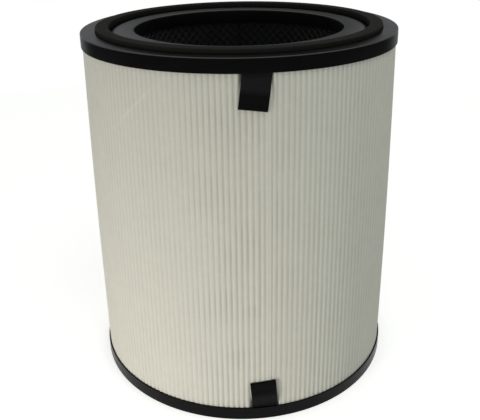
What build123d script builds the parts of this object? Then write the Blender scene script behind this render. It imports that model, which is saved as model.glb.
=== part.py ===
"""Cylindrical air purifier filter.

Two moulded end caps hold a ring of pleated paper with a carbon layer and a net inside it. A thin
cover is drawn over the pleat tips, a foam ring seals each cap, and each end has a webbing pull tab.
The origin is at the centre of the lower rim face, +Z is up, and the tabs face -Y.
"""
import os
from math import cos, pi, radians, sin, tan

from build123d import *

os.makedirs("parts", exist_ok=True)

# Overall sizes, in mm
outer_diameter = 250.0
overall_height = 285.0
core_diameter = 167.0

# Rings of the cap's face, as shares of the width from the core to the outside
rim_share = 0.28
gasket_share = 0.24
cove_share = 0.1

# End caps
cap_height = 10.5
skirt_wall = 1.2
collar_wall = 1.3
plate_thickness = 2.0
rim_chamfer = 0.8
recess_depth = 3.3
flange_drop = 0.8
lip_drop = 0.6

# Foam sealing rings. The upper one stands proud of its rim, and the lower one is sunk below it.
top_gasket_thickness = 6.3
bottom_gasket_thickness = 2.4
gasket_side_gap = 0.2
gasket_sides = 60

# Potting glue, cover, pleats, carbon and net
glue_thickness = 1.3
hidden_sides = 48
skirt_clearance = 0.2
layer_gap = 0.1
cover_thickness = 0.5
ripple_depth = 0.45
pleat_pitch = 4.09
paper_thickness = 0.4
carbon_thickness = 7.0
net_wall = 1.2
net_sides = 24
net_rows = 4
net_strand = 2.4
net_border = 6.0

# Pull tabs
webbing_width = 19.6
webbing_thickness = 1.0
webbing_slit = 0.2
tab_reach = 24.0
tab_tuck = 2.6
tab_stand_off = 0.2
tab_bend = 6.0
pocket_clearance = 0.3
pocket_height = 13.0
top_tab_azimuth = 5.2
top_tab_lean = 7.5
bottom_tab_azimuth = 7.3
bottom_tab_lean = 4.5

# Radii, from the outside in and from the core out
cap_r = outer_diameter / 2
core_r = core_diameter / 2
rim_width = rim_share * (cap_r - core_r)
gasket_width = gasket_share * (cap_r - core_r)
cove_width = cove_share * (cap_r - core_r)
skirt_inner_r = cap_r - skirt_wall
cover_ridge_r = skirt_inner_r - skirt_clearance
cover_groove_r = cover_ridge_r - ripple_depth
cover_inner_r = cover_groove_r - cover_thickness
pleat_outer_r = cover_inner_r - layer_gap
collar_r = core_r + collar_wall
net_inner_r = collar_r + skirt_clearance
net_outer_r = net_inner_r + net_wall
carbon_inner_r = net_outer_r + layer_gap
carbon_outer_r = carbon_inner_r + carbon_thickness
pleat_inner_r = carbon_outer_r / cos(pi / net_sides) + layer_gap
rim_inner_r = cap_r - rim_width
recess_inner_r = rim_inner_r - gasket_width - 2 * gasket_side_gap

# Heights above the lower rim face
plate_z = recess_depth + plate_thickness
pack_z = plate_z + glue_thickness
pack_height = overall_height - 2 * pack_z
mid_plane = Plane.XY.offset(overall_height / 2)


def zigzag(points_of_one_fold, count):
    """Points of a closed folded outline, from one fold's (radius, angle) pairs in degrees."""
    step = 360 / count
    corners = []
    for fold in range(count):
        for radius, angle in points_of_one_fold:
            turn = radians(fold * step + angle)
            corners.append((radius * cos(turn), radius * sin(turn)))
    return corners


# Lower end cap: one moulding, with a flat rim, a recess for the foam ring, a flange that is almost
# level with the rim, a collar round the core and a thin skirt round the pleats. The trough that
# takes the pack is hidden, so its round walls are drawn as many short flats.
with BuildPart() as bottom_cap:
    with BuildSketch(Plane.XZ) as cap_section:
        with BuildLine():
            Polyline(
                (core_r, cap_height),
                (core_r, lip_drop),
                (recess_inner_r - cove_width, flange_drop),
                (recess_inner_r, recess_depth),
                (rim_inner_r, recess_depth),
                (rim_inner_r, 0),
                (cap_r - rim_chamfer, 0),
                (cap_r, rim_chamfer),
                (cap_r, cap_height),
                close=True,
            )
        make_face()
    revolve(axis=Axis.Z)
    with BuildSketch(Plane.XY.offset(plate_z)):
        RegularPolygon(skirt_inner_r, hidden_sides, major_radius=False)
        RegularPolygon(collar_r, hidden_sides, mode=Mode.SUBTRACT)
    extrude(amount=cap_height - plate_z, mode=Mode.SUBTRACT)
bottom_cap.part.label = "bottom_cap"
export_step(bottom_cap.part, "parts/bottom_cap.step")

# Upper end cap: the same moulding, turned over
with BuildPart() as top_cap:
    mirror(bottom_cap.part, about=mid_plane)
top_cap.part.label = "top_cap"
export_step(top_cap.part, "parts/top_cap.step")

# Foam rings, glued to the recess floors. The upper one is thick and presses against the purifier.
# The lower one is thin, so that the filter stands on its rim. Their round edges are drawn as
# short flats, which differ from a circle by under 0.2 mm.
with BuildPart() as bottom_gasket:
    with BuildSketch(Plane.XY.offset(recess_depth)):
        RegularPolygon(rim_inner_r - gasket_side_gap, gasket_sides)
        RegularPolygon(rim_inner_r - gasket_side_gap - gasket_width, gasket_sides, mode=Mode.SUBTRACT)
    extrude(amount=-bottom_gasket_thickness)
bottom_gasket.part.label = "bottom_gasket"
export_step(bottom_gasket.part, "parts/bottom_gasket.step")

with BuildPart() as top_gasket:
    with BuildSketch(Plane.XY.offset(overall_height - recess_depth)):
        RegularPolygon(rim_inner_r - gasket_side_gap, gasket_sides)
        RegularPolygon(rim_inner_r - gasket_side_gap - gasket_width, gasket_sides, mode=Mode.SUBTRACT)
    extrude(amount=top_gasket_thickness)
top_gasket.part.label = "top_gasket"
export_step(top_gasket.part, "parts/top_gasket.step")

# Potting glue: a flat ring that fills the bottom of each cap's trough and bonds the ends of the
# pack to the plate
with BuildPart() as bottom_glue:
    with BuildSketch(Plane.XY.offset(plate_z)):
        RegularPolygon(skirt_inner_r, hidden_sides, major_radius=False)
        RegularPolygon(collar_r, hidden_sides, mode=Mode.SUBTRACT)
    extrude(amount=glue_thickness)
bottom_glue.part.label = "bottom_glue"
export_step(bottom_glue.part, "parts/bottom_glue.step")

with BuildPart() as top_glue:
    mirror(bottom_glue.part, about=mid_plane)
top_glue.part.label = "top_glue"
export_step(top_glue.part, "parts/top_glue.step")


# Pull tabs. Each is a strip of webbing folded in two. Its ends are tucked under the skirt, and it
# comes out over the cover. In the section, x runs outwards and y along the strip from the skirt.
tab_thickness = 2 * webbing_thickness + webbing_slit
tuck_r = skirt_inner_r - tab_thickness / 2 - 2 * pocket_clearance
hang_r = cover_ridge_r + tab_thickness / 2 + tab_stand_off
pocket_r = tuck_r - tab_thickness / 2 - pocket_clearance
pocket_half_angle = 180 / pi * (webbing_width / 2 + 5 * pocket_clearance) / pocket_r


def tab_plane(azimuth, lean, skirt_edge_z, upward):
    """Plane of a tab's section: x outwards, y along the strip into the skirt, z across it."""
    turn = radians(azimuth)
    outward = Vector(sin(turn), -cos(turn), 0)
    sideways = Vector(cos(turn), sin(turn), 0)
    up = Vector(0, 0, 1)
    free_end = up * cos(radians(lean)) * upward - sideways * sin(radians(lean))
    root = outward * tuck_r + up * skirt_edge_z
    return Plane(origin=root, x_dir=outward, z_dir=outward.cross(free_end * -1))


def tab_centre_line(fold_gap):
    """The strip's middle line: tucked in, bent out over the cover, and down to the fold."""
    out = hang_r - tuck_r
    return FilletPolyline(
        (0, tab_tuck),
        (0, -pocket_height / 6),
        (out, -pocket_height * 5 / 6),
        (out, fold_gap - tab_reach),
        radius=tab_bend,
    )


def tab_section():
    """Two layers of webbing with a thin slit between them and a round fold at the free end."""
    with BuildLine():
        layers = tab_centre_line(tab_thickness / 2)
    trace(layers, line_width=tab_thickness)
    with Locations((hang_r - tuck_r, tab_thickness / 2 - tab_reach)):
        Circle(tab_thickness / 2)
    with BuildLine(mode=Mode.PRIVATE):
        between = tab_centre_line(tab_thickness / 2)
    trace(between, line_width=webbing_slit, mode=Mode.SUBTRACT)


with BuildPart() as top_pull_tab:
    with BuildSketch(tab_plane(top_tab_azimuth, top_tab_lean, overall_height - cap_height, -1)):
        tab_section()
    extrude(amount=webbing_width / 2, both=True)
top_pull_tab.part.label = "top_pull_tab"
export_step(top_pull_tab.part, "parts/top_pull_tab.step")

with BuildPart() as bottom_pull_tab:
    with BuildSketch(tab_plane(bottom_tab_azimuth, bottom_tab_lean, cap_height, 1)):
        tab_section()
    extrude(amount=webbing_width / 2, both=True)
bottom_pull_tab.part.label = "bottom_pull_tab"
export_step(bottom_pull_tab.part, "parts/bottom_pull_tab.step")


def pocket_sketch(azimuth, floor_r, margin):
    """Sector round a tab's root, where the cover and the pleat tips are pressed back."""
    half = pocket_half_angle + 180 / pi * margin / floor_r
    with BuildLine() as sector:
        middle = radians(azimuth - 90)
        ends = [middle - radians(half), middle + radians(half)]
        inner = [(floor_r * cos(a), floor_r * sin(a)) for a in (ends[0], middle, ends[1])]
        outer = [(cap_r * cos(a), cap_r * sin(a)) for a in (ends[1], middle, ends[0])]
        ThreePointArc(*inner)
        Line(inner[2], outer[0])
        ThreePointArc(*outer)
        Line(outer[2], inner[0])
    make_face(sector.edges())


tab_roots = [
    (top_tab_azimuth, overall_height - pack_z, -1),
    (bottom_tab_azimuth, pack_z, 1),
]
pocket_depth = cap_height - pack_z + pocket_height

# Cover: a thin non-woven sheet drawn over the pleat tips, so that it stands up over each tip and
# sinks a little between them. Behind each tab's root it is pressed back into a shallow pocket.
pleat_count = round(2 * pi * cover_ridge_r / pleat_pitch)
pleat_step = 360 / pleat_count
with BuildPart() as prefilter_cover:
    with BuildSketch(Plane.XY.offset(pack_z)):
        Polygon(*zigzag([(cover_ridge_r, 0), (cover_groove_r, pleat_step / 2)], pleat_count), align=None)
    extrude(amount=pack_height)
    with BuildSketch(Plane.XY.offset(pack_z)):
        RegularPolygon(cover_inner_r, pleat_count // 2, major_radius=False)
    extrude(amount=pack_height, mode=Mode.SUBTRACT)
    for azimuth, end_z, direction in tab_roots:
        with BuildSketch(Plane.XY.offset(end_z)):
            pocket_sketch(azimuth, pocket_r - cover_thickness, cover_thickness)
            Circle(cover_groove_r, mode=Mode.INTERSECT)
        extrude(amount=direction * (pocket_depth + cover_thickness))
        with BuildSketch(Plane.XY.offset(end_z)):
            pocket_sketch(azimuth, pocket_r, 0)
        extrude(amount=direction * pocket_depth, mode=Mode.SUBTRACT)
prefilter_cover.part.label = "prefilter_cover"
export_step(prefilter_cover.part, "parts/prefilter_cover.step")

# Pleats: one strip of paper, folded to and fro round the carbon layer, so tightly that its two
# walls touch near each fold. The tips behind a tab's root are pressed back with the cover.
fold_depth = paper_thickness * (pleat_outer_r - pleat_inner_r) / (pleat_pitch / 2)
with BuildPart() as hepa_pleats:
    with BuildSketch(Plane.XY.offset(pack_z)):
        outside = [(pleat_outer_r, 0), (pleat_inner_r + fold_depth, pleat_step / 2)]
        Polygon(*zigzag(outside, pleat_count), align=None)
        inside = [(pleat_outer_r - fold_depth, 0), (pleat_inner_r, pleat_step / 2)]
        Polygon(*zigzag(inside, pleat_count), align=None, mode=Mode.SUBTRACT)
    extrude(amount=pack_height)
    for azimuth, end_z, direction in tab_roots:
        with BuildSketch(Plane.XY.offset(end_z)):
            pocket_sketch(azimuth, pocket_r - cover_thickness - layer_gap, cover_thickness + layer_gap)
        extrude(amount=direction * (pocket_depth + cover_thickness + layer_gap), mode=Mode.SUBTRACT)
hepa_pleats.part.label = "hepa_pleats"
export_step(hepa_pleats.part, "parts/hepa_pleats.step")

# Carbon layer: a thick felt sleeve loaded with carbon, wrapped round the flat-sided net
with BuildPart() as carbon_layer:
    with BuildSketch(Plane.XY.offset(pack_z)):
        RegularPolygon(carbon_outer_r, net_sides, major_radius=False)
        RegularPolygon(carbon_inner_r, net_sides, major_radius=False, mode=Mode.SUBTRACT)
    extrude(amount=pack_height)
carbon_layer.part.label = "carbon_layer"
export_step(carbon_layer.part, "parts/carbon_layer.step")

# Inner net: a black plastic sleeve of flat sides, with rows of gaps, seen through the core
row_pitch = (pack_height - 2 * net_border) / net_rows
side_width = 2 * net_inner_r * tan(pi / net_sides)
with BuildPart() as inner_net:
    with BuildSketch(Plane.XY.offset(pack_z)):
        RegularPolygon(net_outer_r, net_sides, major_radius=False)
        RegularPolygon(net_inner_r, net_sides, major_radius=False, mode=Mode.SUBTRACT)
    extrude(amount=pack_height)
    for side in range(net_sides):
        turn = 2 * pi * (side + 0.5) / net_sides
        outward = (cos(turn), sin(turn), 0)
        sideways = (-sin(turn), cos(turn), 0)
        side_plane = Plane((0, 0, overall_height / 2), sideways, outward).offset(net_inner_r - net_wall)
        with BuildSketch(side_plane):
            with GridLocations(0, row_pitch, 1, net_rows):
                Rectangle(side_width - net_strand, row_pitch - net_strand)
    extrude(amount=3 * net_wall, mode=Mode.SUBTRACT)
inner_net.part.label = "inner_net"
export_step(inner_net.part, "parts/inner_net.step")
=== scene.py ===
"""Looks of a cylindrical air purifier filter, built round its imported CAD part.

A ring of pleated paper under a thin white cover stands between two black end caps. The sections go
from the core outwards, then come the caps, their foam rings, the pull tabs and the studio.
Lengths are in metres, in the frame of the CAD part: the front, with the tabs, faces -Y.
"""
import math

import bmesh
import bpy
from mathutils import Matrix, Vector, noise


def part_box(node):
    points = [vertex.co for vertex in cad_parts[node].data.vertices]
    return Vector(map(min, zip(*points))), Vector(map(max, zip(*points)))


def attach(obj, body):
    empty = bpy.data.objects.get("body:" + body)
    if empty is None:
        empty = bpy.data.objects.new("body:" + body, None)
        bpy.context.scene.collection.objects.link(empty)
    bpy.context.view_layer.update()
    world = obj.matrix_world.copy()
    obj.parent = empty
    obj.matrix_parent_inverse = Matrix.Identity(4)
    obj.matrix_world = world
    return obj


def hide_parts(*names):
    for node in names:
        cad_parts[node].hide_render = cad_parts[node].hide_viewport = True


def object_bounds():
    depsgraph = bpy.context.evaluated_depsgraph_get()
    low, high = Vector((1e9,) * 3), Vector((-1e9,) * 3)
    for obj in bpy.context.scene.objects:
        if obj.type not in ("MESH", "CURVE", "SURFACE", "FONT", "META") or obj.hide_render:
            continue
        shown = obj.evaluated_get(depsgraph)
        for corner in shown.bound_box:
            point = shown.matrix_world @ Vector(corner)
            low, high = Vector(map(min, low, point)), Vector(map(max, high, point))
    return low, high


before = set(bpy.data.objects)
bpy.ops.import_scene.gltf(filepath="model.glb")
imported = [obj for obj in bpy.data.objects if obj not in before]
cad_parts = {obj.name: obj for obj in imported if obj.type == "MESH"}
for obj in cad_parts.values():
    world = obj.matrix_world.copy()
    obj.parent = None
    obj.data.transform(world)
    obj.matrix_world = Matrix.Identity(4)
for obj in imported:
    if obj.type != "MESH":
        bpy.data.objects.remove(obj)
cad_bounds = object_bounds()
top_face_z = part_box("top_cap")[1].z
bottom_face_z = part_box("bottom_cap")[0].z
mm = 0.001

# Inner net: an extruded polypropylene sleeve with diamond meshes, which holds the carbon layer out
# of the core. It is cut from a long tube, and its ends are held in the glue of the caps.
net_radius = 85.6 * mm
net_columns = 72
net_rows = 36
net_strand = 1.1 * mm
merge_distance = 0.01 * mm


def linear(colour):
    """Linear RGBA of a colour written as sRGB hex."""
    channels = [int(colour[i : i + 2], 16) / 255 for i in (1, 3, 5)]
    return [c / 12.92 if c <= 0.04045 else ((c + 0.055) / 1.055) ** 2.4 for c in channels] + [1.0]


def add(tree, kind, inputs, **settings):
    """Adds a node with its settings. Each input is a value, or the socket that feeds it."""
    node = tree.nodes.new(kind)
    for name, value in settings.items():
        setattr(node, name, value)
    for name, value in inputs.items():
        if isinstance(value, bpy.types.NodeSocket):
            tree.links.new(value, node.inputs[name])
        else:
            node.inputs[name].default_value = value
    return node


def new_material(name):
    """A material with an empty node tree, and that tree."""
    material = bpy.data.materials.new(name)
    material.use_nodes = True
    material.node_tree.nodes.clear()
    return material, material.node_tree


def new_piece(name, bm, material, slot, *nodes):
    """Makes an object of the mesh that rides on the filter and stands for the CAD nodes."""
    mesh = bpy.data.meshes.new(name)
    bm.to_mesh(mesh)
    bm.free()
    mesh.materials.append(material)
    piece = bpy.data.objects.new(name, mesh)
    bpy.context.scene.collection.objects.link(piece)
    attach(piece, "root")
    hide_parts(*nodes)
    return piece


def sleeve_point(radius, azimuth, height):
    """A point round the core. The azimuth is 0 at the front and grows towards +X."""
    return Vector((radius * math.sin(azimuth), -radius * math.cos(azimuth), height))


# Black polypropylene, extruded: smooth, with a dull shine on each strand
net_material, tree = new_material("extruded_polypropylene_net")
shader = add(
    tree,
    "ShaderNodeBsdfPrincipled",
    {"Base Color": linear("#1c1d1e"), "Roughness": 0.5, "Specular IOR Level": 0.2},
)
add(tree, "ShaderNodeOutputMaterial", {"Surface": shader.outputs["BSDF"]})

net_low, net_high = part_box("inner_net")
bm = bmesh.new()
bmesh.ops.create_grid(bm, x_segments=net_columns, y_segments=net_rows, size=0.5)
straight_edges = [e for e in bm.edges if not e.is_boundary]
bmesh.ops.poke(bm, faces=bm.faces[:])
bmesh.ops.dissolve_edges(bm, edges=straight_edges)
for vert in bm.verts:
    height = net_low.z + (vert.co.y + 0.5) * (net_high.z - net_low.z)
    vert.co = sleeve_point(net_radius, vert.co.x * 2 * math.pi, height)
bmesh.ops.remove_doubles(bm, verts=bm.verts[:], dist=merge_distance)
bmesh.ops.recalc_face_normals(bm, faces=bm.faces[:])
net = new_piece("diamond_net", bm, net_material, "net_plastic", "inner_net")
strands = net.modifiers.new("strands", "WIREFRAME")
strands.thickness = net_strand
strands.use_even_offset = False

# Carbon layer: a thick felt of polyester fibres loaded with activated carbon, wrapped round the net.
# It is seen only as a dark, matt ground behind the meshes.
felt_fibre = 1.5 * mm


def dress(material, *nodes):
    """Gives the material to CAD nodes that no piece replaces."""
    for node in nodes:
        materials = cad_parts[node].data.materials
        materials.clear()
        materials.append(material)


# Needled felt full of carbon dust: very dark grey, with no shine and a loose, lumpy surface
felt_material, tree = new_material("carbon_loaded_felt")
position = add(tree, "ShaderNodeTexCoord", {})
fibres = add(
    tree,
    "ShaderNodeTexNoise",
    {"Vector": position.outputs["Object"], "Scale": 1 / felt_fibre, "Detail": 3.0, "Roughness": 0.65},
)
felt_colours = add(tree, "ShaderNodeValToRGB", {"Fac": fibres.outputs["Fac"]})
felt_colours.color_ramp.elements[0].color = linear("#1b1c1c")
felt_colours.color_ramp.elements[1].color = linear("#333434")
felt_relief = add(
    tree,
    "ShaderNodeBump",
    {"Height": fibres.outputs["Fac"], "Strength": 0.6, "Distance": 0.4 * mm},
)
shader = add(
    tree,
    "ShaderNodeBsdfPrincipled",
    {
        "Base Color": felt_colours.outputs["Color"],
        "Roughness": 0.95,
        "Specular IOR Level": 0.1,
        "Normal": felt_relief.outputs["Normal"],
    },
)
add(tree, "ShaderNodeOutputMaterial", {"Surface": shader.outputs["BSDF"]})
dress(felt_material, "carbon_layer")

# Pleats: one long strip of glass-fibre filter paper, folded to and fro in 190 pleats. The cover
# hides it, so it shows only through the form of its tips.
paper_fibre = 0.8 * mm

# Glass-fibre paper, pressed and dried: white, quite matt, with faint clouds of fibre
paper_material, tree = new_material("glass_fibre_filter_paper")
position = add(tree, "ShaderNodeTexCoord", {})
clouds = add(
    tree,
    "ShaderNodeTexNoise",
    {"Vector": position.outputs["Object"], "Scale": 1 / paper_fibre, "Detail": 2.0},
)
paper_colours = add(tree, "ShaderNodeValToRGB", {"Fac": clouds.outputs["Fac"]})
paper_colours.color_ramp.elements[0].color = linear("#e2e1dc")
paper_colours.color_ramp.elements[1].color = linear("#f0efea")
shader = add(
    tree,
    "ShaderNodeBsdfPrincipled",
    {"Base Color": paper_colours.outputs["Color"], "Roughness": 0.9, "Specular IOR Level": 0.15},
)
add(tree, "ShaderNodeOutputMaterial", {"Surface": shader.outputs["BSDF"]})
dress(paper_material, "hepa_pleats")

# Potting glue: hot-melt poured into each cap, in which the ends of the pack are set. It lies under
# the cap's plate, out of sight, and shows only in a cut.
glue_ripple = 6 * mm

# Hot-melt glue, poured and cooled: cream, waxy, with slow ripples on its surface
glue_material, tree = new_material("hot_melt_glue")
position = add(tree, "ShaderNodeTexCoord", {})
ripples = add(
    tree,
    "ShaderNodeTexNoise",
    {"Vector": position.outputs["Object"], "Scale": 1 / glue_ripple, "Detail": 1.0},
)
glue_relief = add(
    tree,
    "ShaderNodeBump",
    {"Height": ripples.outputs["Fac"], "Strength": 0.4, "Distance": 0.5 * mm},
)
shader = add(
    tree,
    "ShaderNodeBsdfPrincipled",
    {
        "Base Color": linear("#dfd8c2"),
        "Roughness": 0.35,
        "Normal": glue_relief.outputs["Normal"],
    },
)
add(tree, "ShaderNodeOutputMaterial", {"Surface": shader.outputs["BSDF"]})
dress(glue_material, "top_glue", "bottom_glue")

# Cover: a thin spunbonded sheet drawn round the pleat tips. It sinks a little between them, its
# edges are tucked under the caps' skirts, and its ends are lapped at the front. The outer end is
# taken to be heat-sealed, and the lap's width is a guess.
pleats = 190
columns_per_pleat = 6
cover_thickness = 0.25 * mm
ridge_radius = 123.45 * mm
cover_bulge = 0.95 * mm
lap = math.radians(5.5)
lap_end = math.radians(9.6)
lap_step = 0.27 * mm
lap_ramp = math.radians(3)
seal_width = math.radians(2.2)
seal_ramp_share = 0.7
seal_flatness = 0.85
# Width of the painted highlight that the cover's colour carries along the lap's outer edge
seam_highlight_width = math.radians(0.35)
groove_depth = 0.42 * mm
groove_share = 0.8
taut_azimuth = math.radians(46)
taut_blend = math.radians(24)
taut_share = 0.1
slack_azimuth = math.radians(1.5)
slack_width = math.radians(7)
slack_share = 0.8
uneven_share = 0.6
noise_per_pleat = 0.83
noise_per_metre = 9
scallop_depth = 0.3 * mm
scallop_reach = 5 * mm
pack_depth = 6.6 * mm
# Ends of a crease that is only a painted highlight in the cover's colour, not a fold of the mesh
crease_start = (math.radians(-43), 234 * mm)
crease_end = (math.radians(-28.5), 262 * mm)
cover_rows = 41
end_rows_power = 1.6

# Pull tabs' places, which the cover is pressed back for
skirt_depth = 10.5 * mm
tab_width = 19.6 * mm
tab_places = {
    "top": (math.radians(5.2), math.radians(7.5), top_face_z - skirt_depth, -1),
    "bottom": (math.radians(7.3), math.radians(4.5), bottom_face_z + skirt_depth, 1),
}
tab_root_radius = 122.1 * mm
tab_out_start = 2.2 * mm
tab_out_end = 10.8 * mm
tab_hang_radius = 125.1 * mm
tab_half_thickness = 1.1 * mm
press_clearance = 0.35 * mm
press_side_ramp = 2 * mm
press_end_ramp = 3 * mm


def smooth(value, start, end):
    """0 before start, 1 after end and a smooth rise between them."""
    t = min(max((value - start) / (end - start), 0.0), 1.0)
    return t * t * (3 - 2 * t)


def pressed_back(azimuth, height, radius, layer):
    """The radius of the cover where a tab's root presses it back."""
    for place, lean, skirt_edge, up in tab_places.values():
        along = (height - skirt_edge) * up
        out = smooth(along, tab_out_start, tab_out_end)
        tab_radius = tab_root_radius + out * (tab_hang_radius - tab_root_radius)
        floor = tab_radius - tab_half_thickness - press_clearance - lap_step * (2 - layer)
        shift = abs(azimuth - place + math.sin(lean) * max(along, 0) / radius) * radius
        share = 1 - smooth(shift, tab_width / 2, tab_width / 2 + press_side_ramp)
        share *= 1 - smooth(along, tab_out_end, tab_out_end + press_end_ramp)
        radius = min(radius, radius + (floor - radius) * share)
    return radius


def groove(azimuth, height):
    """How deep the cover sinks between two pleats there."""
    front = abs(azimuth)
    taut = smooth(front, taut_azimuth - taut_blend, taut_azimuth)
    slack = math.exp(-(((azimuth - slack_azimuth) / slack_width) ** 2))
    pleat = round(azimuth / (2 * math.pi) * pleats)
    uneven = noise.noise((pleat * noise_per_pleat, 0.0, height * noise_per_metre))
    looseness = groove_share - taut_share * taut + slack_share * slack
    depth = groove_depth * looseness * (1 + uneven_share * uneven)
    from_end = min(height - cover_low.z, cover_high.z - height) - (skirt_depth - pack_depth)
    return depth + scallop_depth * math.exp(-max(from_end, 0) / scallop_reach)


def cover_radius(azimuth, height, layer):
    """The sheet's radius. layer is 0 under the lap and 1 on top of it."""
    azimuth = math.remainder(azimuth, 2 * math.pi)
    tips = 0.5 - 0.5 * math.cos(pleats * (azimuth - math.pi / 2))
    seal_ramp_end = lap_end - seal_ramp_share * seal_width
    sealed = 1 - seal_flatness * smooth(azimuth, lap_end - seal_width, seal_ramp_end) * layer
    share = (height - cover_low.z) / (cover_high.z - cover_low.z)
    radius = ridge_radius + cover_bulge * math.sin(math.pi * share) + lap_step * layer
    radius -= groove(azimuth, height) * tips * sealed
    radius -= seal_flatness * lap_step * layer * smooth(azimuth, lap_end - seal_width, lap_end)
    return pressed_back(azimuth, height, radius, layer)


# Spunbonded polypropylene: matt cream white, with clouds of fibre a few millimetres across and a
# felted grain, drawn coarser than the usual 0.1 mm. Painted shade darkens the gaps between the pleat
# tips into lines, in random patches and most of all near the front, and painted highlights make its
# seam's edge and a crease whiter.
cloud_size = 7 * mm
fibre_size = 0.7 * mm
# Painted shade between the pleat tips: the size and range of its random patches, its strength, and its
# gain towards the front
shade_patch_size = 28 * mm
shade_patch_range = (0.35, 0.65)
gap_shade_strength = 0.115
least_gap_shade_strength = 0.5 * gap_shade_strength
front_shade_range = (math.radians(20), math.radians(5))
front_shade_gain = 2.4
sealed_half_width = 0.4 * seal_width
sealed_fade_end = 0.6 * seal_width
seam_highlight_fade_end = 1.3 * seam_highlight_width
seam_highlight_half_width = 0.4 * seam_highlight_width
# Strengths of the painted highlights along the seam and the crease
seam_highlight_strength = 0.07
crease_highlight_strength = 0.05
crease_half_width = 0.2 * mm
crease_fade_end = 1.7 * mm
crease_fade_range = (0.65, 0.3)
cover_material, tree = new_material("spunbonded_cover")
position = add(tree, "ShaderNodeTexCoord", {})
clouds = add(
    tree,
    "ShaderNodeTexNoise",
    {"Vector": position.outputs["Object"], "Scale": 1 / cloud_size, "Detail": 3.0, "Roughness": 0.6},
)
fibres = add(
    tree,
    "ShaderNodeTexNoise",
    {"Vector": position.outputs["Object"], "Scale": 1 / fibre_size, "Detail": 2.0, "Roughness": 0.7},
)
cloud_colours = add(tree, "ShaderNodeValToRGB", {"Fac": clouds.outputs["Fac"]})
cloud_colours.color_ramp.elements[0].position = 0.3
cloud_colours.color_ramp.elements[0].color = linear("#e7e6dd")
cloud_colours.color_ramp.elements[1].position = 0.7
cloud_colours.color_ramp.elements[1].color = linear("#ebeae1")
place_axes = add(tree, "ShaderNodeSeparateXYZ", {"Vector": position.outputs["Object"]})
frontward = add(tree, "ShaderNodeMath", {0: place_axes.outputs["Y"], 1: -1.0}, operation="MULTIPLY")
azimuth_here = add(
    tree,
    "ShaderNodeMath",
    {0: place_axes.outputs["X"], 1: frontward.outputs["Value"]},
    operation="ARCTAN2",
)
pleat_turn = add(
    tree,
    "ShaderNodeMath",
    {0: azimuth_here.outputs["Value"], 1: float(pleats)},
    operation="MULTIPLY",
)
pleat_wave = add(tree, "ShaderNodeMath", {0: pleat_turn.outputs["Value"]}, operation="COSINE")
between_tips = add(
    tree,
    "ShaderNodeMapRange",
    {"Value": pleat_wave.outputs["Value"], "From Min": 0.0},
    interpolation_type="SMOOTHSTEP",
)
# Random patches in which the painted gap shade is weaker
shade_patch_noise = add(
    tree,
    "ShaderNodeTexNoise",
    {"Vector": position.outputs["Object"], "Scale": 1 / shade_patch_size, "Detail": 1.0},
)
gap_shade_patches = add(
    tree,
    "ShaderNodeMapRange",
    {
        "Value": shade_patch_noise.outputs["Fac"],
        "From Min": shade_patch_range[0],
        "From Max": shade_patch_range[1],
        "To Min": least_gap_shade_strength,
        "To Max": gap_shade_strength,
    },
)
from_seam = add(
    tree,
    "ShaderNodeMath",
    {0: azimuth_here.outputs["Value"], 1: lap_end - sealed_half_width},
    operation="SUBTRACT",
)
off_seam = add(tree, "ShaderNodeMath", {0: from_seam.outputs["Value"]}, operation="ABSOLUTE")
unsealed = add(
    tree,
    "ShaderNodeMapRange",
    {
        "Value": off_seam.outputs["Value"],
        "From Min": sealed_half_width,
        "From Max": sealed_fade_end,
    },
)
from_edge = add(
    tree,
    "ShaderNodeMath",
    {0: azimuth_here.outputs["Value"], 1: lap_end - seam_highlight_width},
    operation="SUBTRACT",
)
off_edge = add(tree, "ShaderNodeMath", {0: from_edge.outputs["Value"]}, operation="ABSOLUTE")
seam_highlight = add(
    tree,
    "ShaderNodeMapRange",
    {
        "Value": off_edge.outputs["Value"],
        "From Min": seam_highlight_fade_end,
        "From Max": seam_highlight_half_width,
        "To Max": seam_highlight_strength,
    },
)
# Painted shade between the pleat tips, left off the sealed strip and made stronger near the front
gap_here = add(
    tree,
    "ShaderNodeMath",
    {0: between_tips.outputs["Result"], 1: unsealed.outputs["Result"]},
    operation="MULTIPLY",
)
off_front = add(tree, "ShaderNodeMath", {0: azimuth_here.outputs["Value"]}, operation="ABSOLUTE")
front_shade_gain_here = add(
    tree,
    "ShaderNodeMapRange",
    {
        "Value": off_front.outputs["Value"],
        "From Min": front_shade_range[0],
        "From Max": front_shade_range[1],
        "To Min": 1.0,
        "To Max": front_shade_gain,
    },
)
gap_shade_depth = add(
    tree,
    "ShaderNodeMath",
    {0: gap_shade_patches.outputs["Result"], 1: front_shade_gain_here.outputs["Result"]},
    operation="MULTIPLY",
)
gap_shade = add(
    tree,
    "ShaderNodeMath",
    {0: gap_here.outputs["Value"], 1: gap_shade_depth.outputs["Value"]},
    operation="MULTIPLY",
)
flat_across = add(
    tree,
    "ShaderNodeMath",
    {0: azimuth_here.outputs["Value"], 1: ridge_radius},
    operation="MULTIPLY",
)
flat_place = add(
    tree,
    "ShaderNodeCombineXYZ",
    {"X": flat_across.outputs["Value"], "Y": place_axes.outputs["Z"]},
)
crease_slope = math.atan2(
    crease_end[1] - crease_start[1], (crease_end[0] - crease_start[0]) * ridge_radius
)
crease_length = (crease_end[1] - crease_start[1]) / math.sin(crease_slope)
in_crease = add(
    tree,
    "ShaderNodeMapping",
    {
        "Vector": flat_place.outputs["Vector"],
        "Location": (crease_start[0] * ridge_radius, crease_start[1], 0.0),
        "Rotation": (0.0, 0.0, crease_slope),
    },
    vector_type="TEXTURE",
)
crease_axes = add(tree, "ShaderNodeSeparateXYZ", {"Vector": in_crease.outputs["Vector"]})
off_crease = add(tree, "ShaderNodeMath", {0: crease_axes.outputs["Y"]}, operation="ABSOLUTE")
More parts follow.
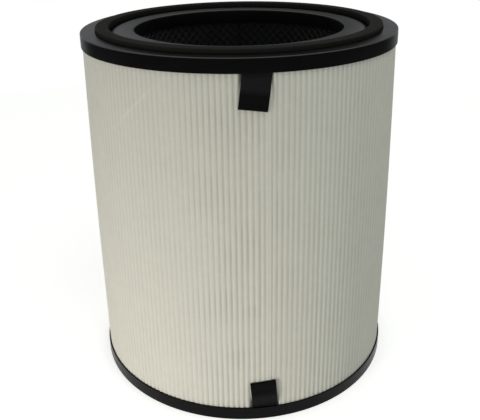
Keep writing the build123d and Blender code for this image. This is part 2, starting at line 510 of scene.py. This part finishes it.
crease_highlight = add(
    tree,
    "ShaderNodeMapRange",
    {
        "Value": off_crease.outputs["Value"],
        "From Min": crease_fade_end,
        "From Max": crease_half_width,
        "To Max": crease_highlight_strength,
    },
    interpolation_type="SMOOTHSTEP",
)
along_crease = add(
    tree,
    "ShaderNodeMath",
    {0: crease_axes.outputs["X"], 1: crease_length / 2},
    operation="SUBTRACT",
)
past_middle = add(tree, "ShaderNodeMath", {0: along_crease.outputs["Value"]}, operation="ABSOLUTE")
crease_ends = add(
    tree,
    "ShaderNodeMapRange",
    {
        "Value": past_middle.outputs["Value"],
        "From Min": crease_fade_range[0] * crease_length,
        "From Max": crease_fade_range[1] * crease_length,
    },
    interpolation_type="SMOOTHSTEP",
)
# Painted highlights of the crease and the seam, from which the painted gap shade is taken next
painted_highlights = add(
    tree,
    "ShaderNodeMath",
    {
        0: crease_highlight.outputs["Result"],
        1: crease_ends.outputs["Result"],
        2: seam_highlight.outputs["Result"],
    },
    operation="MULTIPLY_ADD",
)
highlights_less_shade = add(
    tree,
    "ShaderNodeMath",
    {0: painted_highlights.outputs["Value"], 1: gap_shade.outputs["Value"]},
    operation="SUBTRACT",
)
painted_light_factor = add(
    tree, "ShaderNodeMath", {0: highlights_less_shade.outputs["Value"], 1: 1.0}, operation="ADD"
)
cover_colours = add(
    tree,
    "ShaderNodeVectorMath",
    {0: cloud_colours.outputs["Color"], "Scale": painted_light_factor.outputs["Value"]},
    operation="SCALE",
)
cover_relief = add(
    tree,
    "ShaderNodeBump",
    {"Height": fibres.outputs["Fac"], "Strength": 0.25, "Distance": 0.05 * mm},
)
shader = add(
    tree,
    "ShaderNodeBsdfPrincipled",
    {
        "Base Color": cover_colours.outputs["Vector"],
        "Roughness": 0.95,
        "Specular IOR Level": 0.12,
        "Normal": cover_relief.outputs["Normal"],
    },
)
add(tree, "ShaderNodeOutputMaterial", {"Surface": shader.outputs["BSDF"]})

cover_low, cover_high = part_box("prefilter_cover")
bm = bmesh.new()
bm.loops.layers.uv.new("UVMap")
cover_columns = round(pleats * columns_per_pleat * (1 + lap / (2 * math.pi)))
bmesh.ops.create_grid(
    bm, x_segments=cover_columns, y_segments=cover_rows, size=0.5, calc_uvs=True
)
for vert in bm.verts:
    length_share, height_share = vert.co.x + 0.5, 2 * vert.co.y
    azimuth = lap_end - (1 - length_share) * (2 * math.pi + lap)
    towards_end = math.copysign(1 - (1 - abs(height_share)) ** end_rows_power, height_share)
    height = cover_low.z + (towards_end + 1) / 2 * (cover_high.z - cover_low.z)
    layer = smooth(azimuth, lap_end - lap - lap_ramp, lap_end - lap)
    vert.co = sleeve_point(cover_radius(azimuth, height, layer), azimuth, height)
bmesh.ops.recalc_face_normals(bm, faces=bm.faces[:])
for face in bm.faces:
    face.smooth = True
cover = new_piece("spunbonded_cover", bm, cover_material, "cover_nonwoven", "prefilter_cover")
wall = cover.modifiers.new("wall", "SOLIDIFY")
wall.thickness = cover_thickness
wall.offset = 1.0

# End caps: two ABS mouldings, the same part turned over. A flat rim carries the skirt round the
# pleats, a recess takes the foam ring, and a nearly level flange leads to the collar at the core.
cap_radius = 125 * mm
rim_inner_radius = 113.4 * mm
recess_inner_radius = 103.02 * mm
cove_top_radius = 98.87 * mm
crown_radius = 91 * mm
core_radius = 83.5 * mm
recess_depth = 3.3 * mm
crown_depth = 0.45 * mm
flange_depth = 0.8 * mm
lip_depth = 0.6 * mm
plate_thickness = 2 * mm
skirt_wall = 1.2 * mm
collar_wall = 1.3 * mm
rim_round = 0.8 * mm
edge_round = 0.35 * mm
cove_round = 2.2 * mm
crown_round = 2.5 * mm
lip_round = 0.9 * mm
skirt_edge_round = 0.25 * mm
ring_tolerance = 0.02 * mm
turning_steps = 240


def rounded_rings(bm, face_z, inward, rings):
    """Rounds the ring edges at each radius and depth by its own radius and number of facets."""
    for radius, depth, offset, segments in rings:
        height = face_z + inward * depth
        edges = [
            e
            for e in bm.edges
            if all(
                abs(v.co.z - height) < ring_tolerance
                and abs(v.co.xy.length - radius) < ring_tolerance
                for v in e.verts
            )
        ]
        bmesh.ops.bevel(
            bm,
            geom=edges,
            offset=offset,
            offset_type="OFFSET",
            segments=segments,
            profile=0.5,
            affect="EDGES",
            material=-1,
        )


def turned(profile, face_z, inward):
    """A closed profile of (radius, depth) points, spun round the core's axis."""
    bm = bmesh.new()
    verts = [bm.verts.new((radius, 0, face_z + inward * depth)) for radius, depth in profile]
    edges = [bm.edges.new((a, b)) for a, b in zip(verts, verts[1:] + verts[:1])]
    bmesh.ops.spin(
        bm,
        geom=verts + edges,
        cent=(0, 0, 0),
        axis=(0, 0, 1),
        angle=2 * math.pi,
        steps=turning_steps,
        use_merge=True,
    )
    bmesh.ops.remove_doubles(bm, verts=bm.verts[:], dist=merge_distance)
    bmesh.ops.recalc_face_normals(bm, faces=bm.faces[:])
    return bm


# ABS, injection moulded in a lightly eroded mould: near black, with a soft sheen at low angles. Its
# grain, usually about 0.3 mm, is drawn at 0.6 mm so that it shows. The flange inside the foam ring is
# rougher but reflects more, and the rim's outer edge carries a painted highlight in a lighter grey.
grain_size = 0.6 * mm
patch_size = 25 * mm
cap_roughness = (0.25, 0.33)
cap_specular = 0.08
flange_edge_radius = 101 * mm
flange_added_roughness = 0.1
flange_added_specular = 0.32
# Width of the painted highlight round the rim's outer edge
edge_highlight_width = 0.75 * rim_round
cap_material, tree = new_material("moulded_abs")
position = add(tree, "ShaderNodeTexCoord", {})
grain = add(
    tree,
    "ShaderNodeTexNoise",
    {"Vector": position.outputs["Object"], "Scale": 1 / grain_size, "Detail": 2.0, "Roughness": 0.5},
)
patches = add(
    tree,
    "ShaderNodeTexNoise",
    {"Vector": position.outputs["Object"], "Scale": 1 / patch_size, "Detail": 2.0},
)
gloss = add(
    tree,
    "ShaderNodeMapRange",
    {"Value": patches.outputs["Fac"], "To Min": cap_roughness[0], "To Max": cap_roughness[1]},
)
cap_place = add(tree, "ShaderNodeSeparateXYZ", {"Vector": position.outputs["Object"]})
from_axis = add(
    tree,
    "ShaderNodeVectorMath",
    {0: position.outputs["Object"], 1: (1.0, 1.0, 0.0)},
    operation="MULTIPLY",
)
axis_distance = add(
    tree, "ShaderNodeVectorMath", {0: from_axis.outputs["Vector"]}, operation="LENGTH"
)
on_flange = add(
    tree,
    "ShaderNodeMath",
    {0: axis_distance.outputs["Value"], 1: flange_edge_radius},
    operation="LESS_THAN",
)
off_middle = add(
    tree,
    "ShaderNodeMath",
    {0: cap_place.outputs["Z"], 1: (top_face_z + bottom_face_z) / 2},
    operation="SUBTRACT",
)
from_middle = add(tree, "ShaderNodeMath", {0: off_middle.outputs["Value"]}, operation="ABSOLUTE")
near_face = add(
    tree,
    "ShaderNodeMath",
    {0: from_middle.outputs["Value"], 1: (top_face_z - bottom_face_z) / 2 - edge_highlight_width},
    operation="GREATER_THAN",
)
at_outside = add(
    tree,
    "ShaderNodeMath",
    {0: axis_distance.outputs["Value"], 1: cap_radius - edge_highlight_width},
    operation="GREATER_THAN",
)
# Painted highlight on the rounding of the rim's outer edge
rim_edge_highlight = add(
    tree,
    "ShaderNodeMath",
    {0: near_face.outputs["Value"], 1: at_outside.outputs["Value"]},
    operation="MULTIPLY",
)
cap_colours = add(tree, "ShaderNodeValToRGB", {"Fac": rim_edge_highlight.outputs["Value"]})
cap_colours.color_ramp.elements[0].color = linear("#0a0a0b")
cap_colours.color_ramp.elements[1].color = linear("#4a4a4b")
flange_dull = add(
    tree,
    "ShaderNodeMath",
    {0: on_flange.outputs["Value"], 1: flange_added_roughness, 2: gloss.outputs["Result"]},
    operation="MULTIPLY_ADD",
)
flange_shine = add(
    tree,
    "ShaderNodeMath",
    {0: on_flange.outputs["Value"], 1: flange_added_specular, 2: cap_specular},
    operation="MULTIPLY_ADD",
)
grain_relief = add(
    tree,
    "ShaderNodeBump",
    {"Height": grain.outputs["Fac"], "Strength": 0.12, "Distance": 0.04 * mm},
)
shader = add(
    tree,
    "ShaderNodeBsdfPrincipled",
    {
        "Base Color": cap_colours.outputs["Color"],
        "Roughness": flange_dull.outputs["Value"],
        "Specular IOR Level": flange_shine.outputs["Value"],
        "Normal": grain_relief.outputs["Normal"],
    },
)
add(tree, "ShaderNodeOutputMaterial", {"Surface": shader.outputs["BSDF"]})

plate_depth = recess_depth + plate_thickness
cap_faces = {"top": (top_face_z, -1), "bottom": (bottom_face_z, 1)}
for end, (face_z, inward) in cap_faces.items():
    cap_profile = [
        (cap_radius, 0),
        (cap_radius, skirt_depth),
        (cap_radius - skirt_wall, skirt_depth),
        (cap_radius - skirt_wall, plate_depth),
        (core_radius + collar_wall, plate_depth),
        (core_radius + collar_wall, skirt_depth),
        (core_radius, skirt_depth),
        (core_radius, lip_depth),
        (crown_radius, crown_depth),
        (cove_top_radius, flange_depth),
        (recess_inner_radius, recess_depth),
        (rim_inner_radius, recess_depth),
        (rim_inner_radius, 0),
    ]
    bm = turned(cap_profile, face_z, inward)
    cap_rings = [
        (cap_radius, 0, rim_round, 4),
        (rim_inner_radius, 0, edge_round, 3),
        (cap_radius, skirt_depth, skirt_edge_round, 2),
        (cap_radius - skirt_wall, skirt_depth, skirt_edge_round, 2),
        (core_radius, lip_depth, lip_round, 4),
        (crown_radius, crown_depth, crown_round, 3),
        (cove_top_radius, flange_depth, cove_round, 5),
        (recess_inner_radius, recess_depth, edge_round, 2),
    ]
    rounded_rings(bm, face_z, inward, cap_rings)
    for face in bm.faces:
        face.smooth = True
    cap = new_piece(f"{end}_end_cap", bm, cap_material, "cap_plastic", f"{end}_cap")
    cap.modifiers.new("flats", "WEIGHTED_NORMAL").keep_sharp = True

# Foam rings: closed-cell foam, die cut from sheet and glued into the recess of each cap. The upper
# one stands proud of the rim and presses against the purifier, and the lower one is sunk below it.
foam_inner_radius = 103.2 * mm
foam_outer_radius = 113.2 * mm
foam_face_depths = {"top": -3.1 * mm, "bottom": 0.9 * mm}
foam_round = 0.5 * mm

# Closed-cell foam, cut: a dull, nearly neutral dark grey, with cut cells of 0.5 mm all over it
cell_size = 0.5 * mm
foam_material, tree = new_material("closed_cell_foam")
position = add(tree, "ShaderNodeTexCoord", {})
cells = add(
    tree,
    "ShaderNodeTexVoronoi",
    {"Vector": position.outputs["Object"], "Scale": 1 / cell_size},
)
foam_colours = add(tree, "ShaderNodeValToRGB", {"Fac": cells.outputs["Distance"]})
foam_colours.color_ramp.elements[0].color = linear("#1c1c1a")
foam_colours.color_ramp.elements[1].color = linear("#2d2d2a")
foam_relief = add(
    tree,
    "ShaderNodeBump",
    {"Height": cells.outputs["Distance"], "Strength": 0.5, "Distance": 0.15 * mm},
)
shader = add(
    tree,
    "ShaderNodeBsdfPrincipled",
    {
        "Base Color": foam_colours.outputs["Color"],
        "Roughness": 0.9,
        "Specular IOR Level": 0.06,
        "Normal": foam_relief.outputs["Normal"],
    },
)
add(tree, "ShaderNodeOutputMaterial", {"Surface": shader.outputs["BSDF"]})

for end, (face_z, inward) in cap_faces.items():
    foam_face_depth = foam_face_depths[end]
    foam_profile = [
        (foam_inner_radius, foam_face_depth),
        (foam_outer_radius, foam_face_depth),
        (foam_outer_radius, recess_depth),
        (foam_inner_radius, recess_depth),
    ]
    bm = turned(foam_profile, face_z, inward)
    foam_rings = [
        (foam_inner_radius, foam_face_depth, foam_round, 3),
        (foam_outer_radius, foam_face_depth, foam_round, 3),
    ]
    rounded_rings(bm, face_z, inward, foam_rings)
    for face in bm.faces:
        face.smooth = True
    foam = new_piece(f"{end}_foam_ring", bm, foam_material, "seal_foam", f"{end}_gasket")

# Pull tabs: a strip of black polyester webbing, folded in two. Its ends are tucked under the skirt
# and set in the glue, and the loop comes out over the cover and hangs against it.
webbing_thickness = 0.9 * mm
webbing_slit = 0.25 * mm
fold_swell = 0.35 * mm
leg_swell_share = 0.4
leg_swell_range = (7 * mm, 2 * mm)
tab_reach = 24 * mm
tab_tuck = 2.4 * mm
bend_lead = 3 * mm
bend_tail = 1 * mm
tab_columns = 28
tab_rows = 200

# Woven polyester webbing: black, with ribs across the strip. Such ribs are usually 0.9 mm apart and
# are drawn at 1.2 mm so that they show. The yarn is dull. Painted light makes the strip lighter
# towards the cap, and painted shade makes it darker near the fold.
rib_pitch = 1.2 * mm
warp_pitch = 0.9 * mm
# Painted light and shade along the strip: lighter towards the cap, darker at the fold
tab_light_range = (0.17, 0.27)
fold_painted_shade = 0.8
root_painted_light = 2.0
webbing_material, tree = new_material("woven_polyester_webbing")
strip_length = 2 * (tab_reach + tab_tuck)
weave_place = add(tree, "ShaderNodeUVMap", {}, uv_map="UVMap")
weave_axes = add(tree, "ShaderNodeSeparateXYZ", {"Vector": weave_place.outputs["UV"]})
across = add(
    tree,
    "ShaderNodeMath",
    {0: weave_axes.outputs["X"], 1: 2 * math.pi * tab_width / warp_pitch},
    operation="MULTIPLY",
)
along = add(
    tree,
    "ShaderNodeMath",
    {0: weave_axes.outputs["Y"], 1: 2 * math.pi * strip_length / rib_pitch},
    operation="MULTIPLY",
)
across_wave = add(tree, "ShaderNodeMath", {0: across.outputs["Value"]}, operation="SINE")
along_wave = add(tree, "ShaderNodeMath", {0: along.outputs["Value"]}, operation="SINE")
checks = add(
    tree,
    "ShaderNodeMath",
    {0: across_wave.outputs["Value"], 1: along_wave.outputs["Value"]},
    operation="MULTIPLY",
)
weave = add(
    tree,
    "ShaderNodeMath",
    {0: along_wave.outputs["Value"], 1: checks.outputs["Value"]},
    operation="ADD",
)
yarn_shade = add(
    tree,
    "ShaderNodeMapRange",
    {"Value": weave.outputs["Value"], "From Min": -1.5, "From Max": 1.5},
)
yarn_colours = add(tree, "ShaderNodeValToRGB", {"Fac": yarn_shade.outputs["Result"]})
yarn_colours.color_ramp.elements[0].color = linear("#0b0b0c")
yarn_colours.color_ramp.elements[1].color = linear("#1d1d1e")
weave_relief = add(
    tree,
    "ShaderNodeBump",
    {"Height": weave.outputs["Value"], "Strength": 0.5, "Distance": 0.08 * mm},
)
# Painted light: the legs towards the cap lighter, the part near the fold darker
from_fold = add(
    tree,
    "ShaderNodeMath",
    {0: weave_axes.outputs["Y"], 1: 0.5},
    operation="SUBTRACT",
)
fold_distance = add(tree, "ShaderNodeMath", {0: from_fold.outputs["Value"]}, operation="ABSOLUTE")
painted_tab_light = add(
    tree,
    "ShaderNodeMapRange",
    {
        "Value": fold_distance.outputs["Value"],
        "From Min": tab_light_range[0],
        "From Max": tab_light_range[1],
        "To Min": fold_painted_shade,
        "To Max": root_painted_light,
    },
    interpolation_type="SMOOTHSTEP",
)
painted_tab_colours = add(
    tree,
    "ShaderNodeVectorMath",
    {0: yarn_colours.outputs["Color"], "Scale": painted_tab_light.outputs["Result"]},
    operation="SCALE",
)
shader = add(
    tree,
    "ShaderNodeBsdfPrincipled",
    {
        "Base Color": painted_tab_colours.outputs["Vector"],
        "Roughness": 0.6,
        "Specular IOR Level": 0.03,
        "Normal": weave_relief.outputs["Normal"],
    },
)
add(tree, "ShaderNodeOutputMaterial", {"Surface": shader.outputs["BSDF"]})

# The strip's middle line: a leg, half a turn round the fold, and the other leg
gap = (webbing_thickness + webbing_slit) / 2
leg = tab_tuck + tab_reach - gap
fold = math.pi * gap
line_length = 2 * leg + fold


def strip_line(distance):
    """A point of the folded strip's middle line, and its outward side, in (out, along) from the skirt.

    The line runs down the outer layer, round the fold and up the inner layer.
    """
    side = 1.0
    if distance > leg + fold:
        side, distance = -1.0, 2 * leg + fold - distance
    if distance > leg:
        turn = (distance - leg) / gap
        swell = 1 + fold_swell / gap * math.sin(turn)
        return gap * swell * math.cos(turn), tab_reach - gap + gap * swell * math.sin(turn)
    down = distance - tab_tuck
    near_fold = smooth(down, tab_reach - leg_swell_range[0], tab_reach - leg_swell_range[1])
    return side * (gap + fold_swell * leg_swell_share * near_fold), down


for end, (place, lean, skirt_edge, up) in tab_places.items():
    outward = sleeve_point(1, place, 0)
    sideways = Vector((math.cos(place), math.sin(place), 0))
    down = Vector((0, 0, up)) * math.cos(lean) - sideways * math.sin(lean)
    across_strip = Vector((0, 0, up)) * math.sin(lean) + sideways * math.cos(lean)
    bm = bmesh.new()
    bm.loops.layers.uv.new("UVMap")
    bmesh.ops.create_grid(bm, x_segments=tab_columns, y_segments=tab_rows, size=0.5, calc_uvs=True)
    for vert in bm.verts:
        out, along_tab = strip_line((vert.co.y + 0.5) * line_length)
        bend = smooth(along_tab, tab_out_start - bend_lead, tab_out_end + bend_tail)
        radius = tab_root_radius + bend * (tab_hang_radius - tab_root_radius) + out
        root = outward * radius + Vector((0, 0, skirt_edge))
        vert.co = root + down * along_tab + across_strip * (vert.co.x * tab_width)
    bmesh.ops.recalc_face_normals(bm, faces=bm.faces[:])
    for face in bm.faces:
        face.smooth = True
    tab = new_piece(f"{end}_webbing_tab", bm, webbing_material, "webbing", f"{end}_pull_tab")
    body = tab.modifiers.new("body", "SOLIDIFY")
    body.thickness = webbing_thickness
    body.offset = 0.0

# Studio: a white table and surroundings that the camera sees as plain white, a narrow, low lamp at
# the left of the front, and a large soft one above. Gloss sees the white table, but not the white
# surroundings: it sees a dark room with bright sides at the back, a light overhead and, at eye
# level, a low white backdrop all round.
table_size = 1.0
table_glow = 0.64
key_place = (-1.1, -1.2, 0.2)
key_target = (-0.06, -0.08, -0.06)
key_size = 0.3
key_power = 0.5
key_spread = math.radians(38)
top_place = (0.5, -0.6, 1.9)
top_target = (0, 0, 0.15)
top_size = 1.0
top_power = 5.5
surround_strength = 0.4
side_strength = 0.5
dark_strength = 0.07
overhead_strength = 1.5

# Directions, as parts of a unit vector, between which each area of the room goes from off to full
left_range = (-0.12, -0.16)
right_range = (0.16, 0.21)
behind_range = (0.6, 0.85)
overhead_range = (0.45, 0.65)
backdrop_range = (0.09, 0.05)

# White laminate table: matt, with a glow for the camera that brings its open areas to plain white
table_material, tree = new_material("white_table")
ray = add(tree, "ShaderNodeLightPath", {})
seen = add(
    tree,
    "ShaderNodeMath",
    {0: ray.outputs["Is Camera Ray"], 1: ray.outputs["Is Transmission Ray"]},
    operation="ADD",
)
mirrored = add(
    tree,
    "ShaderNodeMath",
    {0: seen.outputs["Value"], 1: ray.outputs["Is Glossy Ray"]},
    operation="ADD",
    use_clamp=True,
)
glow = add(
    tree,
    "ShaderNodeMath",
    {0: mirrored.outputs["Value"], 1: table_glow},
    operation="MULTIPLY",
)
shader = add(
    tree,
    "ShaderNodeBsdfPrincipled",
    {
        "Base Color": linear("#e6e6e6"),
        "Roughness": 0.8,
        "Emission Color": linear("#ffffff"),
        "Emission Strength": glow.outputs["Value"],
    },
)
add(tree, "ShaderNodeOutputMaterial", {"Surface": shader.outputs["BSDF"]})
bm = bmesh.new()
bmesh.ops.create_circle(bm, cap_ends=True, segments=96, radius=table_size)
table_mesh = bpy.data.meshes.new("table")
bm.to_mesh(table_mesh)
bm.free()
table_mesh.materials.append(table_material)
table = bpy.data.objects.new("table", table_mesh)
table.location.z = cad_bounds[0].z
bpy.context.scene.collection.objects.link(table)

world = bpy.data.worlds.new("white_surroundings")
bpy.context.scene.world = world
world.use_nodes = True
world.node_tree.nodes.clear()
tree = world.node_tree
ray = add(tree, "ShaderNodeLightPath", {})
direction = add(tree, "ShaderNodeTexCoord", {})
direction_axes = add(tree, "ShaderNodeSeparateXYZ", {"Vector": direction.outputs["Generated"]})
left_side = add(
    tree,
    "ShaderNodeMapRange",
    {
        "Value": direction_axes.outputs["X"],
        "From Min": left_range[0],
        "From Max": left_range[1],
        "To Min": dark_strength,
        "To Max": side_strength,
    },
    interpolation_type="SMOOTHSTEP",
)
right_side = add(
    tree,
    "ShaderNodeMapRange",
    {
        "Value": direction_axes.outputs["X"],
        "From Min": right_range[0],
        "From Max": right_range[1],
        "To Min": dark_strength,
        "To Max": side_strength,
    },
    interpolation_type="SMOOTHSTEP",
)
sides = add(
    tree,
    "ShaderNodeMath",
    {0: left_side.outputs["Result"], 1: right_side.outputs["Result"]},
    operation="MAXIMUM",
)
behind = add(
    tree,
    "ShaderNodeMapRange",
    {
        "Value": direction_axes.outputs["Y"],
        "From Min": behind_range[0],
        "From Max": behind_range[1],
    },
    interpolation_type="SMOOTHSTEP",
)
back_sides = add(
    tree,
    "ShaderNodeMath",
    {0: sides.outputs["Value"], 1: behind.outputs["Result"]},
    operation="MULTIPLY",
)
overhead = add(
    tree,
    "ShaderNodeMapRange",
    {
        "Value": direction_axes.outputs["Z"],
        "From Min": overhead_range[0],
        "From Max": overhead_range[1],
        "To Max": overhead_strength,
    },
    interpolation_type="SMOOTHSTEP",
)
off_level = add(
    tree,
    "ShaderNodeMath",
    {0: direction_axes.outputs["Z"]},
    operation="ABSOLUTE",
)
backdrop = add(
    tree,
    "ShaderNodeMapRange",
    {
        "Value": off_level.outputs["Value"],
        "From Min": backdrop_range[0],
        "From Max": backdrop_range[1],
    },
    interpolation_type="SMOOTHSTEP",
)
upper = add(
    tree,
    "ShaderNodeMath",
    {0: back_sides.outputs["Value"], 1: overhead.outputs["Result"]},
    operation="MAXIMUM",
)
mirrored = add(
    tree,
    "ShaderNodeMath",
    {0: upper.outputs["Value"], 1: backdrop.outputs["Result"]},
    operation="MAXIMUM",
)
fill = add(
    tree,
    "ShaderNodeBackground",
    {"Color": linear("#f2f6f1"), "Strength": surround_strength},
)
gloss_sides = add(
    tree,
    "ShaderNodeBackground",
    {"Color": linear("#f0f2f5"), "Strength": mirrored.outputs["Value"]},
)
white = add(tree, "ShaderNodeBackground", {"Color": linear("#ffffff"), "Strength": 1.0})
seen = add(
    tree,
    "ShaderNodeMath",
    {0: ray.outputs["Is Camera Ray"], 1: ray.outputs["Is Transmission Ray"]},
    operation="ADD",
    use_clamp=True,
)
lit = add(
    tree,
    "ShaderNodeMixShader",
    {
        "Fac": ray.outputs["Is Glossy Ray"],
        1: fill.outputs["Background"],
        2: gloss_sides.outputs["Background"],
    },
)
shown = add(
    tree,
    "ShaderNodeMixShader",
    {"Fac": seen.outputs["Value"], 1: lit.outputs["Shader"], 2: white.outputs["Background"]},
)
add(tree, "ShaderNodeOutputWorld", {"Surface": shown.outputs["Shader"]})


def soft_lamp(name, place, target, size, power, colour, spread=math.pi):
    """A square lamp that looks at the target and isn't seen itself, nor mirrored."""
    light = bpy.data.lights.new(name, "AREA")
    light.size = size
    light.energy = power
    light.spread = spread
    light.color = linear(colour)[:3]
    lamp = bpy.data.objects.new(name, light)
    lamp.location = place
    lamp.rotation_euler = (Vector(target) - Vector(place)).to_track_quat("-Z", "Y").to_euler()
    lamp.visible_camera = False
    lamp.visible_glossy = False
    bpy.context.scene.collection.objects.link(lamp)


soft_lamp("key_lamp", key_place, key_target, key_size, key_power, "#fff6ec", key_spread)
soft_lamp("top_lamp", top_place, top_target, top_size, top_power, "#f6fbf0")

# Camera: a 51 mm lens a little above the filter and 0.55 m in front of it, shifted up so that the
# whole filter fills the frame
lens = 50.87
frame_shift = -0.1051
camera_place = (0, -546.9 * mm, 376.5 * mm)
pitch_down = 0.3625
turn_left = 0.0017
roll = -0.0167
camera_data = bpy.data.cameras.new("camera")
camera_data.lens = lens
camera_data.sensor_width = 36
camera_data.shift_y = frame_shift
camera_data.clip_start = 0.01
camera = bpy.data.objects.new("camera", camera_data)
camera.matrix_world = (
    Matrix.Translation(camera_place)
    @ Matrix.Rotation(turn_left, 4, "Z")
    @ Matrix.Rotation(math.pi / 2 - pitch_down, 4, "X")
    @ Matrix.Rotation(roll, 4, "Z")
)
bpy.context.scene.collection.objects.link(camera)
bpy.context.scene.camera = camera
bpy.context.scene.view_settings.view_transform = "Standard"
